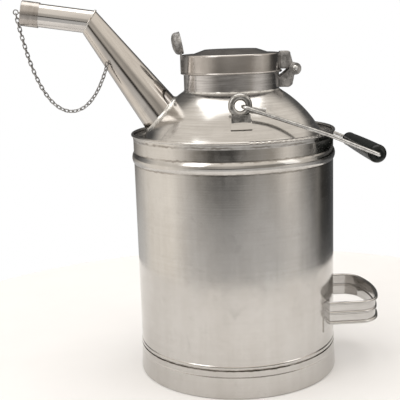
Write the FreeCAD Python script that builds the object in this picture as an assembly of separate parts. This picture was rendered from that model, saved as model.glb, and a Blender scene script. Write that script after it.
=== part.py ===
import FreeCAD, Part
import math
import os

# A tinplate filling can: cylindrical body, domed shoulder, filler neck with a hinged lid,
# pouring spout with a chained slip-on cap, wire bail with a plastic grip, hand loop at the back.
# Millimetres. The origin is the centre of the base, +Z is up, +X is the back (hinge and hand
# loop), -X is the spout side, and the bail swings about an axis along Y.

# Sheet and wire stock
SHEET = 0.8
BAIL_WIRE_R = 2.0
BODY_GAP = 0.3          # between curved faces of pieces that move against each other
RUNNING_GAP = 0.08      # radial clearance of the hinge pin and of the bail wire in its grip

# Body
BODY_R = 110.0
NECKED_R = 109.2        # body radius inside the foot ring
WALL_BOTTOM_Z = 4.0
RING_TOP_Z = 30.5
SWAGE_LOW_Z, SWAGE_HIGH_Z, SWAGE_RISE = 237.0, 249.5, 2.0
FLARE_Z = 262.0
RIM_R, RIM_Z, RIM_ROLL_R = 110.6, 268.3, 1.6
FOOT_ROLL_R, FOOT_ROLL_CENTRE_R, FOOT_FLAT = 1.75, 110.0, 1.2
BOTTOM_Z = 10.0

# Shoulder, neck and lid
DOME_FOOT_R, DOME_FOOT_Z = 97.5, 265.5
DOME_TOP_Z = 313.4
DOME_CROWN = 4.3        # how far the shoulder's arc stands above its chord
DOME_EDGE_R, GUTTER_Z = 101.0, 263.0
NECK_R, NECK_WALL = 52.0, 1.0
NECK_TOP_Z = 346.2
LID_INNER_R, LID_OUTER_R = 52.9, 53.6
LID_EDGE_Z = 332.75
LID_EDGE_R, LID_EDGE_ROLL_R = 54.0, 1.25
LID_TOP_Z, LID_PLATEAU_Z = 352.5, 357.2
LID_SLOPE_OUT_R, LID_SLOPE_IN_R = 41.5, 28.5
GASKET_IN_R, GASKET_OUT_R = 45.5, 51.0

# Hinge
PIN_X, PIN_Z, PIN_R = 69.0, 334.5, 2.0
CHEEK_IN_Y, CHEEK_OUT_Y = 6.5, 9.5
LUG_Y = 6.2

# Spout: a cone from the shoulder to the elbow, then a parallel tube
SPOUT_BASE = FreeCAD.Vector(-79.9, 0, 292.3)
SPOUT_ELBOW = FreeCAD.Vector(-150.5, 0, 390.7)
SPOUT_BASE_R, SPOUT_ELBOW_R = 22.9, 12.8
NOZZLE_R = 12.4
NOZZLE_RISE_DEG = 9.07
CAP_START, CAP_LENGTH = 53.6, 18.7      # measured along the nozzle from the elbow
CAP_SHEET, SEAL_T = 0.7, 1.5

# Bail, ears and grip
EAR_Y, EAR_Z = 79.8, 302.6
EAR_RING_R, EAR_TUBE_R = 8.9, 3.5
SADDLE_T = 1.5
HOOK_R = EAR_TUBE_R + 0.5 + BAIL_WIRE_R
BAIL_REACH = 157.0
BAIL_REST_DEG, BAIL_END_DEG = 20.3, 23.5
BAIL_KNEE = 98.0        # from the ears to the slight bend in each arm
BAIL_BEND_R = 4.5
GRIP_HALF = 67.2
GRIP_NEAR_R, GRIP_FAR_R = 9.7, 7.9

# Hand loop at the back
LOOP_Y, LOOP_LOW_Z, LOOP_HIGH_Z = 54.5, 55.2, 81.2
LOOP_CORNER_X, LOOP_CORNER_R, LOOP_CORNER_DEG = 131.9, 23.8, 72.0
LOOP_EDGE_R, LOOP_WIRE_R, LOOP_WEB_INSET = 1.8, 1.0, 2.6

# Chain
LINK_COUNT, LINK_PITCH = 41, 4.65
LINK_WIRE_R, LINK_LONG, LINK_WIDE = 0.6, 7.3, 4.6
LINK_SLACK = 0.2        # between an end link and the eye it hangs from
EYE_R, EYE_WIRE_R = 2.5, 0.6
CAP_EYE_REACH, ANCHOR_REACH = 5.8, 3.2  # from the metal to the middle of each eye
CHAIN_TWIST_DEG = 52.0  # how far the last link is rolled from the first
ANCHOR_SHARE = 0.62     # how far along the cone from its base the chain's eye is
ANCHOR_DEG = 50.0       # how far round the cone from its underside

ORIGIN = FreeCAD.Vector(0, 0, 0)
X, Y, Z = FreeCAD.Vector(1, 0, 0), FreeCAD.Vector(0, 1, 0), FreeCAD.Vector(0, 0, 1)
NOZZLE_RISE = math.radians(NOZZLE_RISE_DEG)
NOZZLE_DIR = FreeCAD.Vector(-math.cos(NOZZLE_RISE), 0, math.sin(NOZZLE_RISE))
CONE_DIR = (SPOUT_ELBOW - SPOUT_BASE).normalize()
CONE_LENGTH = (SPOUT_ELBOW - SPOUT_BASE).Length
SIDES = (("left", -1), ("right", 1))

os.makedirs("parts", exist_ok=True)


def save(name, shape):
    """Writes one sub-part."""
    if not shape.isValid():
        shape.fix(1e-6, 1e-6, 1e-6)
    shape.exportStep("parts/" + name + ".step")


# ---- Shapes used by several sub-parts ----

def flat(point):
    """A point of an XZ outline, as a place in space."""
    return FreeCAD.Vector(point[0], 0, point[1])


def outline(points, place=flat):
    """A closed wire through the points. A pair of points is an arc through the first to the second."""
    edges = []
    last = points[0]
    for item in points[1:] + [points[0]]:
        if isinstance(item[0], tuple):
            middle, end = item
            edges.append(Part.Arc(place(last), place(middle), place(end)).toShape())
        else:
            end = item
            edges.append(Part.LineSegment(place(last), place(end)).toShape())
        last = end
    return Part.Wire(edges)


def turned(points):
    """The XZ outline turned about the Z axis."""
    return Part.Face(outline(points)).revolve(ORIGIN, Z, 360)


def plate(points, low_y, high_y):
    """The XZ outline made into a plate from low_y to high_y."""
    face = Part.Face(outline(points))
    face.translate(FreeCAD.Vector(0, low_y, 0))
    return face.extrude(FreeCAD.Vector(0, high_y - low_y, 0))


def block(low, high):
    """A box between two corners."""
    size = [h - l for l, h in zip(low, high)]
    return Part.makeBox(*size, FreeCAD.Vector(*low))


def torus(radius, tube, z):
    """A ring about the Z axis."""
    return Part.makeTorus(radius, tube, FreeCAD.Vector(0, 0, z), Z)


def sector(inner, outer, low_z, high_z, centre_deg, half_deg):
    """A piece of a cylindrical shell about the Z axis."""
    ring = Part.makeCylinder(outer, high_z - low_z, FreeCAD.Vector(0, 0, low_z), Z, 2 * half_deg)
    ring = ring.cut(Part.makeCylinder(inner, high_z - low_z, FreeCAD.Vector(0, 0, low_z)))
    ring.rotate(ORIGIN, Z, centre_deg - half_deg)
    return ring


def dome_arc(offset):
    """Top, middle and foot of the shoulder's arc, moved outwards by offset."""
    top = FreeCAD.Vector(NECK_R, 0, DOME_TOP_Z)
    foot = FreeCAD.Vector(DOME_FOOT_R, 0, DOME_FOOT_Z)
    chord = foot - top
    out = FreeCAD.Vector(-chord.z, 0, chord.x).normalize()
    middle = (top + foot) * 0.5 + out * DOME_CROWN
    radius = ((chord.Length / 2) ** 2 + DOME_CROWN ** 2) / (2 * DOME_CROWN)
    centre = middle - out * radius
    return [point + (point - centre).normalize() * offset for point in (top, middle, foot)]


def dome_envelope(offset):
    """Everything under the shoulder's outer face, moved outwards by offset."""
    top, middle, foot = dome_arc(offset)
    return turned([(0, top.z), (top.x, top.z), ((middle.x, middle.z), (foot.x, foot.z)),
                   (foot.x, BOTTOM_Z), (0, BOTTOM_Z)])


def rounded_path(points, radii):
    """A wire along the points, with each inner corner rounded to its radius."""
    edges = []
    last = points[0]
    for before, corner, after, radius in zip(points, points[1:], points[2:], radii):
        into = (corner - before).normalize()
        out = (after - corner).normalize()
        turn = into.getAngle(out)
        reach = radius * math.tan(turn / 2)
        start, end = corner - into * reach, corner + out * reach
        towards = (out - into).normalize()
        centre = corner + towards * (radius / math.cos(turn / 2))
        edges.append(Part.LineSegment(last, start).toShape())
        edges.append(Part.Arc(start, centre - towards * radius, end).toShape())
        last = end
    edges.append(Part.LineSegment(last, points[-1]).toShape())
    return Part.Wire(edges)


def swept_round(path, radius):
    """A round wire or tube of this radius along the path."""
    edge = path.OrderedEdges[0]
    start = edge.valueAt(edge.FirstParameter)
    along = edge.tangentAt(edge.FirstParameter)
    ring = Part.Wire(Part.makeCircle(radius, start, along))
    return path.makePipeShell([ring], True, False)


# ---- Body ----

def body_shell():
    """The rolled cylinder with its swaged bead, rolled rim and lock seam."""
    bead_z = (SWAGE_LOW_Z + SWAGE_HIGH_Z) / 2
    foot_bump = ((BODY_R + 0.8, 33.5), (BODY_R, 36.0))
    inner = BODY_R - SHEET
    wall = turned([
        (NECKED_R, WALL_BOTTOM_Z), (NECKED_R, RING_TOP_Z), (BODY_R, RING_TOP_Z + 0.6), foot_bump,
        (BODY_R, SWAGE_LOW_Z), ((BODY_R + SWAGE_RISE, bead_z), (BODY_R, SWAGE_HIGH_Z)),
        (BODY_R, FLARE_Z), (RIM_R, RIM_Z - 2), (RIM_R, RIM_Z), (RIM_R - SHEET, RIM_Z),
        (RIM_R - SHEET, RIM_Z - 2), (inner, FLARE_Z), (inner, SWAGE_HIGH_Z),
        ((inner + SWAGE_RISE, bead_z), (inner, SWAGE_LOW_Z)), (inner, 36.0),
        ((inner + 0.8, 33.5), (inner, RING_TOP_Z + 0.8)), (NECKED_R - SHEET, RING_TOP_Z + 0.2),
        (NECKED_R - SHEET, WALL_BOTTOM_Z)])
    roll = torus(RIM_R, RIM_ROLL_R, RIM_Z)
    seam = sector(BODY_R - 0.2, BODY_R + 0.9, 37.5, SWAGE_LOW_Z - 1.5, 90, 1.9)
    shell = wall.fuse([roll, seam])
    return shell.cut(torus(RIM_R, RIM_ROLL_R - SHEET, RIM_Z))


def rim_wire():
    """The steel wire inside the rolled rim."""
    return torus(RIM_R, RIM_ROLL_R - SHEET, RIM_Z)


def bottom_plate():
    """The recessed base with a turned-down flange and one pressed stiffening ring."""
    outer = NECKED_R - SHEET
    top = BOTTOM_Z + SHEET
    return turned([
        (0, BOTTOM_Z), (62, BOTTOM_Z), ((66, BOTTOM_Z + 1.6), (70, BOTTOM_Z)),
        (outer - SHEET, BOTTOM_Z), (outer - SHEET, WALL_BOTTOM_Z), (outer, WALL_BOTTOM_Z),
        (outer, top), (71, top), ((66, top + 1.6), (61, top)), (0, top)])


def foot_ring():
    """The band round the foot, with its lower edge rolled over a wire and worn flat underneath."""
    band = turned([
        (NECKED_R, RING_TOP_Z - 0.2), (BODY_R + 0.5, RING_TOP_Z - 0.2), (BODY_R + 0.5, 27.0),
        ((BODY_R + 0.1, 25.0), (BODY_R + 0.6, 23.0)),
        (FOOT_ROLL_CENTRE_R + FOOT_ROLL_R, FOOT_ROLL_R), (BODY_R, FOOT_ROLL_R),
        (NECKED_R, WALL_BOTTOM_Z)])
    roll = torus(FOOT_ROLL_CENTRE_R, FOOT_ROLL_R, FOOT_ROLL_R)
    low_r, high_r = FOOT_ROLL_CENTRE_R - FOOT_FLAT / 2, FOOT_ROLL_CENTRE_R + FOOT_FLAT / 2
    flat_ring = turned([(low_r, 0), (high_r, 0), (high_r, 0.4), (low_r, 0.4)])
    return band.fuse([roll, flat_ring]).cut(foot_wire())


def foot_wire():
    """The steel wire inside the foot ring's rolled edge."""
    return torus(FOOT_ROLL_CENTRE_R, FOOT_ROLL_R - SHEET, FOOT_ROLL_R)


# ---- Shoulder and neck ----

def shoulder_dome():
    """The convex shoulder, turned out flat at its foot."""
    top, middle, foot = dome_arc(0)
    low_top, low_middle, low_foot = dome_arc(-SHEET)
    under = GUTTER_Z - SHEET
    dome = turned([
        (NECK_R, top.z), ((middle.x, middle.z), (foot.x, foot.z)), ((98.5, 263.7), (100.6, GUTTER_Z)),
        (DOME_EDGE_R, GUTTER_Z), (DOME_EDGE_R, under), (100.3, under),
        ((97.9, 262.9), (low_foot.x, low_foot.z)), ((low_middle.x, low_middle.z), (NECK_R, low_top.z))])
    return dome.cut(spout_cone(SPOUT_BASE_R - SHEET, SPOUT_ELBOW_R - SHEET, 30.0))


def shoulder_gutter():
    """The ring from the shoulder's edge to the flange that is soldered inside the body wall."""
    wall = BODY_R - SHEET
    under = GUTTER_Z - SHEET
    return turned([
        (DOME_EDGE_R, GUTTER_Z), (106.8, GUTTER_Z), ((107.9, 263.5), (wall - SHEET, 264.6)),
        (wall - SHEET, 266.8), (wall, 266.8), (wall, 264.2), ((108.5, 262.8), (107.0, under)),
        (DOME_EDGE_R, under)])


def filler_neck():
    """The neck, with its top edge rounded over."""
    bore = NECK_R - NECK_WALL
    round_r = NECK_WALL / 2
    return turned([(bore, 309.5), (NECK_R, 309.5), (NECK_R, NECK_TOP_Z - round_r),
                   ((bore + round_r, NECK_TOP_Z), (bore, NECK_TOP_Z - round_r))])


def neck_solder():
    """The solder fillet between neck and shoulder."""
    fillet = turned([(NECK_R, 310.5), (NECK_R, 315.8), ((53.0, 313.6), (55.4, 310.5))])
    return fillet.cut(dome_envelope(0)).cut(hinge_neck_bracket())


# ---- Lid ----

def lid_shell():
    """The pressed lid: skirt, flat margin and raised middle, with its lower edge rolled over a wire."""
    under = LID_TOP_Z - SHEET
    cap = turned([
        (LID_OUTER_R, LID_EDGE_Z), (LID_OUTER_R, 350.3), ((53.0, 351.9), (51.4, LID_TOP_Z)),
        (LID_SLOPE_OUT_R + 1, LID_TOP_Z), (LID_SLOPE_OUT_R, LID_TOP_Z + 0.3),
        (LID_SLOPE_IN_R, LID_PLATEAU_Z), (0, LID_PLATEAU_Z), (0, LID_PLATEAU_Z - SHEET),
        (LID_SLOPE_IN_R - 0.2, LID_PLATEAU_Z - SHEET), (LID_SLOPE_OUT_R - 0.3, under + 0.2),
        (LID_SLOPE_OUT_R + 0.6, under), (51.2, under), ((52.4, 351.2), (LID_INNER_R, 350.0)),
        (LID_INNER_R, LID_EDGE_Z)])
    roll = torus(LID_EDGE_R, LID_EDGE_ROLL_R, LID_EDGE_Z)
    return cap.fuse(roll).cut(lid_edge_wire())


def lid_edge_wire():
    """The wire inside the lid's rolled edge."""
    return torus(LID_EDGE_R, 0.6, LID_EDGE_Z)


def lid_gasket():
    """The ring under the lid that closes on the neck."""
    low, high = NECK_TOP_Z + BODY_GAP, LID_TOP_Z - SHEET
    return turned([(GASKET_IN_R, low), (GASKET_OUT_R, low), (GASKET_OUT_R, high), (GASKET_IN_R, high)])


def thumb_tab():
    """The strap up the lid's front, and the round dished thumb piece on it."""
    rim_r, lean = 12.0, math.radians(11)
    centre = FreeCAD.Vector(-54.1, 0, 365.4)
    outwards = FreeCAD.Vector(-math.cos(lean), 0, -math.sin(lean))
    upwards = FreeCAD.Vector(-math.sin(lean), 0, math.cos(lean))

    def turned_cup(points):
        face = Part.Face(outline(points, lambda point: centre + upwards * point[0] + outwards * point[1]))
        return face.revolve(centre, outwards, 360)
    cup = turned_cup([
        (rim_r, 0), (rim_r, 2.6), ((11.0, 6.6), (8.0, 8.5)), ((5.0, 9.4), (2.5, 9.6)), (0, 9.6),
        (0, 8.2), (2.5, 8.2), ((4.9, 8.0), (7.3, 7.2)), ((9.7, 5.7), (10.6, 2.6)), (10.6, 0)])
    hollow = turned_cup([
        (0, -20), (10.6, -20), (10.6, 2.6), ((9.7, 5.7), (7.3, 7.2)), ((4.9, 8.0), (2.5, 8.2)), (0, 8.2)])
    strap = sector(LID_OUTER_R, LID_OUTER_R + 1.6, LID_EDGE_Z + LID_EDGE_ROLL_R + 0.1, 359.0, 180, 7.0)
    rim = Part.makeTorus(rim_r - 0.7, 1.0, centre, outwards)
    return cup.fuse([strap.cut(hollow), rim]).removeSplitter()


# ---- Hinge ----

def hinge_neck_bracket():
    """The fixed half: a web on the neck and two cheeks that hold the pin."""
    cheek_points = [
        (50, 314.6), (60.0, 314.6), ((65.0, 316.4), (66.6, 320.0)), (68.0, 327.6),
        ((76.0, 333.6), (68.0, 340.4)), ((63.6, 338.2), (62.0, 333.6)), (57.5, 329.6), (50, 325.0)]
    web = block((50, -CHEEK_OUT_Y, 314.6), (56.0, CHEEK_OUT_Y, 325.0))
    cheeks = [plate(cheek_points, -CHEEK_OUT_Y, -CHEEK_IN_Y), plate(cheek_points, CHEEK_IN_Y, CHEEK_OUT_Y)]
    bracket = web.fuse(cheeks)
    neck = Part.makeCylinder(NECK_R, 60, FreeCAD.Vector(0, 0, 300))
    pin_hole = Part.makeCylinder(PIN_R, 4 * CHEEK_OUT_Y, FreeCAD.Vector(PIN_X, -2 * CHEEK_OUT_Y, PIN_Z), Y)
    return bracket.cut(neck).cut(pin_hole)


def hinge_pin():
    """The pin, with a domed head at each end."""
    pin = Part.makeCylinder(PIN_R, 2 * CHEEK_OUT_Y, FreeCAD.Vector(PIN_X, -CHEEK_OUT_Y, PIN_Z), Y)
    heads = []
    for side in (-1, 1):
        base = FreeCAD.Vector(PIN_X, side * CHEEK_OUT_Y, PIN_Z)
        ball = Part.makeSphere(4.0, base - Y * (side * 2.0))
        heads.append(ball.common(Part.makeCylinder(6, 6, base, Y * side)))
    return pin.fuse(heads)


def hinge_lid_bracket():
    """The moving half: a lug on the lid's skirt, bored for the pin."""
    lug = plate([
        (50, 334.4), (50, 353.2), (61.5, 353.4), ((63.8, 352.4), (64.6, 350.0)), (67.6, 339.6),
        (PIN_X, 339.6), ((PIN_X + 5.1, PIN_Z), (PIN_X, PIN_Z - 5.1)),
        ((65.6, 330.9), (62.6, 333.2)), (59.5, 334.2)], -LUG_Y, LUG_Y)
    skirt = Part.makeCylinder(LID_OUTER_R + 0.01, 60, FreeCAD.Vector(0, 0, 300))
    bore_r = PIN_R + RUNNING_GAP
    bore = Part.makeCylinder(bore_r, 4 * LUG_Y, FreeCAD.Vector(PIN_X, -2 * LUG_Y, PIN_Z), Y)
    return lug.cut(skirt).cut(bore)


# ---- Spout and cap ----

def spout_cone(base_r, elbow_r, below):
    """The spout's cone, carried on below its base and beyond its elbow."""
    beyond = 12.0
    slope = (base_r - elbow_r) / CONE_LENGTH
    start = SPOUT_BASE - CONE_DIR * below
    return Part.makeCone(base_r + slope * below, elbow_r - slope * beyond,
                         below + CONE_LENGTH + beyond, start, CONE_DIR)


def mitre(towards_nozzle):
    """The half space on one side of the elbow's joint."""
    normal = (CONE_DIR + NOZZLE_DIR).normalize()
    if not towards_nozzle:
        normal = normal * -1
    return Part.makeCylinder(200, 400, SPOUT_ELBOW, normal)


def spout_lower_tube():
    """The tapered tube from the shoulder to the elbow."""
    outer = spout_cone(SPOUT_BASE_R, SPOUT_ELBOW_R, 25.0)
    inner = spout_cone(SPOUT_BASE_R - SHEET, SPOUT_ELBOW_R - SHEET, 26.0)
    tube = outer.cut(inner).common(mitre(False))
    return tube.cut(dome_envelope(0))


def nozzle(radius, before, end):
    """A parallel bar along the nozzle's axis, from before the elbow to end beyond it."""
    start = SPOUT_ELBOW - NOZZLE_DIR * before
    return Part.makeCylinder(radius, before + end, start, NOZZLE_DIR)


def spout_upper_tube():
    """The parallel nozzle, joined to the cone at a mitre."""
    end = CAP_START + CAP_LENGTH - CAP_SHEET - SEAL_T - BODY_GAP
    tube = nozzle(NOZZLE_R, 20, end).cut(nozzle(NOZZLE_R - SHEET, 21, end + 1))
    return tube.common(mitre(True))


def spout_base_solder():
    """The solder fillet round the foot of the spout."""
    leg = 3.2
    collar = spout_cone(SPOUT_BASE_R + leg, SPOUT_ELBOW_R + leg, 25.0)
    collar = collar.common(dome_envelope(leg * 0.55))
    return collar.cut(spout_cone(SPOUT_BASE_R, SPOUT_ELBOW_R, 26.0)).cut(dome_envelope(0))


def spout_cap():
    """The slip-on cap: a parallel sleeve with a closed end."""
    inner_r = NOZZLE_R + BODY_GAP
    start = SPOUT_ELBOW + NOZZLE_DIR * CAP_START
    sleeve = Part.makeCylinder(inner_r + CAP_SHEET, CAP_LENGTH, start, NOZZLE_DIR)
    tip = [edge for edge in sleeve.Edges
           if (edge.CenterOfMass - start).dot(NOZZLE_DIR) > CAP_LENGTH - 0.1 and edge.Closed]
    sleeve = sleeve.makeFillet(0.6, tip)
    return sleeve.cut(Part.makeCylinder(inner_r, CAP_LENGTH - CAP_SHEET, start, NOZZLE_DIR))


def cap_seal():
    """The soft disc inside the cap's end."""
    start = SPOUT_ELBOW + NOZZLE_DIR * (CAP_START + CAP_LENGTH - CAP_SHEET - SEAL_T)
    return Part.makeCylinder(NOZZLE_R + BODY_GAP, SEAL_T, start, NOZZLE_DIR)


# ---- Chain ----

def cap_eye_centre():
    """Centre of the ring on the cap's end."""
    return SPOUT_ELBOW + NOZZLE_DIR * (CAP_START + CAP_LENGTH + CAP_EYE_REACH)


def anchor():
    """Centre of the chain's eye on the cone, and the direction straight out of the cone there."""
    under = FreeCAD.Vector(-CONE_DIR.z, 0, CONE_DIR.x)
    turn = math.radians(ANCHOR_DEG)
    out = under * math.cos(turn) - Y * math.sin(turn)
    radius = SPOUT_BASE_R + (SPOUT_ELBOW_R - SPOUT_BASE_R) * ANCHOR_SHARE
    foot = SPOUT_BASE + CONE_DIR * (CONE_LENGTH * ANCHOR_SHARE) + out * radius
    return foot + out * ANCHOR_REACH, out


def eye(centre, out, across, reach):
    """A wire ring on a short shank, reach away from the metal it stands on."""
    ring = Part.makeTorus(EYE_R, EYE_WIRE_R, centre, across)
    shank = Part.makeCylinder(1.0, reach - EYE_R + 0.2, centre - out * reach, out)
    return ring.fuse(shank)


def cap_eye():
    """The eye on the middle of the cap's end."""
    return eye(cap_eye_centre(), NOZZLE_DIR, Y, CAP_EYE_REACH)


def chain_anchor_eye():
    """The eye on the side of the cone."""
    centre, out = anchor()
    ring = eye(centre, out, out.cross(Z), ANCHOR_REACH + 0.5)
    return ring.cut(spout_cone(SPOUT_BASE_R, SPOUT_ELBOW_R, 0))


def link():
    """One oval link, long axis along X, lying in the XY plane."""
    bend_r = LINK_WIDE / 2 - LINK_WIRE_R
    half = LINK_LONG / 2 - LINK_WIRE_R - bend_r
    ends = [Part.makeTorus(bend_r, LINK_WIRE_R, X * half, Z).common(block((half, -9, -9), (9, 9, 9))),
            Part.makeTorus(bend_r, LINK_WIRE_R, X * -half, Z).common(block((-9, -9, -9), (-half, 9, 9)))]
    sides = [Part.makeCylinder(LINK_WIRE_R, 2 * half, FreeCAD.Vector(-half, side * bend_r, 0), X)
             for side in (-1, 1)]
    return ends[0].fuse(ends[1:] + sides).removeSplitter()


def catenary(start, end, length):
    """The curve of a hanging chain: a function from the length along it to place and direction."""
    across = FreeCAD.Vector(end.x - start.x, end.y - start.y, 0)
    span, rise = across.Length, end.z - start.z
    across = across.normalize()
    pull = math.sqrt(length ** 2 - rise ** 2)
    low, high = 1.0, 1000.0
    while high - low > 1e-9:
        scale = (low + high) / 2
        if 2 * scale * math.sinh(span / (2 * scale)) > pull:
            low = scale
        else:
            high = scale
    lowest = span / 2 - scale * math.atanh(rise / length)
    first = scale * math.sinh(-lowest / scale)

    def at(along):
        run = first + along
        u = scale * math.asinh(run / scale)
        drop = scale * (math.cosh(u / scale) - math.cosh(lowest / scale))
        place = start + across * (u + lowest) + Z * drop
        direction = (across + Z * math.sinh(u / scale)).normalize()
        return place, direction
    return at


def cap_chain():
    """The hanging chain of oval links, each turned a quarter from the last."""
    centre, out = anchor()
    to_link_end = EYE_R - EYE_WIRE_R - LINK_SLACK - 2 * LINK_WIRE_R + (LINK_LONG - LINK_PITCH) / 2
    start = cap_eye_centre() - Z * to_link_end
    end = centre - Z * to_link_end
    at = catenary(start, end, LINK_COUNT * LINK_PITCH)
    one = link()
    links = []
    for number in range(LINK_COUNT):
        place, along = at((number + 0.5) * LINK_PITCH)
        roll = math.radians(90 * (number % 2) + CHAIN_TWIST_DEG * number / (LINK_COUNT - 1))
        out_of_curve = along.cross(Y).normalize()
        side = out_of_curve.cross(along) * math.cos(roll) + out_of_curve * math.sin(roll)
        up = along.cross(side)
        piece = one.copy()
        piece.Placement = FreeCAD.Placement(place, FreeCAD.Rotation(along, side, up, "XYZ"))
        links.append(piece)
    return Part.makeCompound(links)


# ---- Ears, bail and grip ----

def ear_ring(side):
    """The thick ring that the bail hooks through, with its foot on the saddle."""
    centre = FreeCAD.Vector(0, side * EAR_Y, EAR_Z)
    ring = Part.makeTorus(EAR_RING_R, EAR_TUBE_R, centre, Y)
    foot = block((-9.7, -2.4, 284.0), (9.7, 5.6, 293.6))
    foot.translate(FreeCAD.Vector(0, side * EAR_Y if side > 0 else side * EAR_Y - 3.2, 0))
    hole = Part.makeCylinder(EAR_RING_R - EAR_TUBE_R, 30, centre - Y * 15, Y)
    return ring.fuse(foot.cut(hole)).cut(dome_envelope(SADDLE_T))


def ear_saddle(side):
    """The plate soldered to the shoulder under the ring."""
    skin = dome_envelope(SADDLE_T).cut(dome_envelope(0))
    low_y, high_y = (side * 60, side * 100) if side > 0 else (side * 100, side * 60)
    return skin.common(block((-11, low_y, 279.5), (11, high_y, 290.5)))


def bar_centre():
    """Middle of the bail's bar at rest, which the grip turns on."""
    rest, end = math.radians(BAIL_REST_DEG), math.radians(BAIL_END_DEG)
    beyond = BAIL_REACH - BAIL_KNEE
    return FreeCAD.Vector(BAIL_KNEE * math.cos(rest) + beyond * math.cos(end), 0,
                          EAR_Z - BAIL_KNEE * math.sin(rest) - beyond * math.sin(end))


def bail_path():
    """The bail's centreline at rest: hook, arm, bar through the grip, arm, hook."""
    rest = math.radians(BAIL_REST_DEG)
    along = FreeCAD.Vector(math.cos(rest), 0, -math.sin(rest))
    lift = FreeCAD.Vector(math.sin(rest), 0, math.cos(rest))
    ring = FreeCAD.Vector(0, 0, EAR_Z)
    inner_y, outer_y = EAR_Y - HOOK_R, EAR_Y + HOOK_R
    bar_y = GRIP_HALF + BAIL_BEND_R + 0.6
    knee_y = outer_y + (bar_y - outer_y) * 0.6
    hook_u = EAR_RING_R - HOOK_R

    def arm(side):
        return [ring + along * 27.0 + lift * 3.5 + Y * (side * inner_y),
                ring + along * 13.0 + lift * 1.2 + Y * (side * inner_y),
                ring + along * hook_u + Y * (side * inner_y),
                ring + along * hook_u + Y * (side * outer_y),
                ring + along * 16.0 + Y * (side * outer_y),
                ring + along * BAIL_KNEE + Y * (side * knee_y),
                bar_centre() + Y * (side * bar_y)]
    hook_bend = HOOK_R - 0.03
    radii = [20.0, hook_bend, hook_bend, 40.0, 120.0, BAIL_BEND_R]
    return rounded_path(arm(-1) + arm(1)[::-1], radii + radii[::-1])


def bail_wire():
    """The bent steel wire."""
    return swept_round(bail_path(), BAIL_WIRE_R)


def bail_grip():
    """The barrel grip, a little thicker at its left end, bored for the wire."""
    bore = BAIL_WIRE_R + RUNNING_GAP
    half = GRIP_HALF

    def place(point):
        return FreeCAD.Vector(point[0], point[1], 0)
    face = Part.Face(outline([
        (bore, -half), (5.0, -half), ((8.4, -half + 2.6), (GRIP_NEAR_R, -half + 9.0)),
        ((GRIP_NEAR_R - 0.5, 0), (GRIP_FAR_R, half - 8.0)),
        ((6.9, half - 2.2), (4.4, half)), (bore, half)], place))
    grip = face.revolve(ORIGIN, Y, 360)
    grip.translate(bar_centre())
    return grip


# ---- Hand loop ----

def loop_path(inset, z):
    """The loop's plan curve, moved inwards by inset: arm, corner, bowed front, corner, arm."""
    turn = math.radians(LOOP_CORNER_DEG)
    corner_centre = (LOOP_CORNER_X, LOOP_Y - LOOP_CORNER_R)
    corner_r = LOOP_CORNER_R - inset
    front_y = corner_centre[1] + LOOP_CORNER_R * math.cos(turn)
    front_x = corner_centre[0] + LOOP_CORNER_R * math.sin(turn)
    front_r = front_y / math.cos(turn)
    apex_x = front_x + front_r * (1 - math.sin(turn)) - inset

    def corner(angle, side):
        return FreeCAD.Vector(corner_centre[0] + corner_r * math.sin(angle),
                              side * (corner_centre[1] + corner_r * math.cos(angle)), z)
    start_x = 85.0
    edges = []
    near = [corner(angle, -1) for angle in (0, turn / 2, turn)]
    far = [corner(angle, 1) for angle in (turn, turn / 2, 0)]
    arm_y = LOOP_Y - inset
    edges.append(Part.LineSegment(FreeCAD.Vector(start_x, -arm_y, z), near[0]).toShape())
    edges.append(Part.Arc(*near).toShape())
    edges.append(Part.Arc(near[2], FreeCAD.Vector(apex_x, 0, z), far[0]).toShape())
    edges.append(Part.Arc(*far).toShape())
    edges.append(Part.LineSegment(far[2], FreeCAD.Vector(start_x, arm_y, z)).toShape())
    return Part.Wire(edges)


def swept_flat(points, z):
    """A closed section, given as inset and height, swept round the loop."""
    def place(point):
        return FreeCAD.Vector(85.0, -(LOOP_Y - point[0]), point[1])
    return loop_path(0, z).makePipeShell([outline(points, place)], True, False)


def loop_wire_heights():
    """The heights of the two wired edges."""
    return LOOP_LOW_Z + LOOP_EDGE_R, LOOP_HIGH_Z - LOOP_EDGE_R


def rear_handle_strap():
    """The hand loop: a recessed web with a small middle bead, its edges rolled over wires."""
    low, high = loop_wire_heights()
    middle = (low + high) / 2
    web_out = LOOP_WEB_INSET
    web_in = web_out + 1.0
    web = swept_flat([
        (web_in, low), (web_in, middle - 1.6), ((web_in - 1.2, middle), (web_in, middle + 1.6)),
        (web_in, high), (web_out, high), (web_out, middle + 2.0),
        ((web_out - 1.6, middle), (web_out, middle - 2.0)), (web_out, low)], middle)
    rolls = [swept_round(loop_path(LOOP_EDGE_R, z), LOOP_EDGE_R) for z in (low, high)]
    strap = web.fuse(rolls)
    wires = [swept_round(loop_path(LOOP_EDGE_R, z), LOOP_WIRE_R) for z in (low, high)]
    body = Part.makeCylinder(BODY_R, 60, FreeCAD.Vector(0, 0, 40))
    return strap.cut(wires).cut(body)


def rear_handle_wires():
    """The two wires inside the loop's rolled edges."""
    body = Part.makeCylinder(BODY_R, 60, FreeCAD.Vector(0, 0, 40))
    return Part.makeCompound([swept_round(loop_path(LOOP_EDGE_R, z), LOOP_WIRE_R).cut(body)
                              for z in loop_wire_heights()])


def rear_handle_flanges():
    """The two flanges that solder the loop to the body, outside its arms."""
    flanges = []
    for side in (-1, 1):
        inner_deg = math.degrees(math.asin((LOOP_Y + 0.02) / BODY_R))
        outer_deg = math.degrees(math.asin(68.0 / BODY_R))
        centre = side * (inner_deg + outer_deg) / 2
        flange = sector(BODY_R, BODY_R + 1.0, 52.5, 85.5, centre, (outer_deg - inner_deg) / 2)
        flanges.append(flange)
    return Part.makeCompound(flanges)


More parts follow.
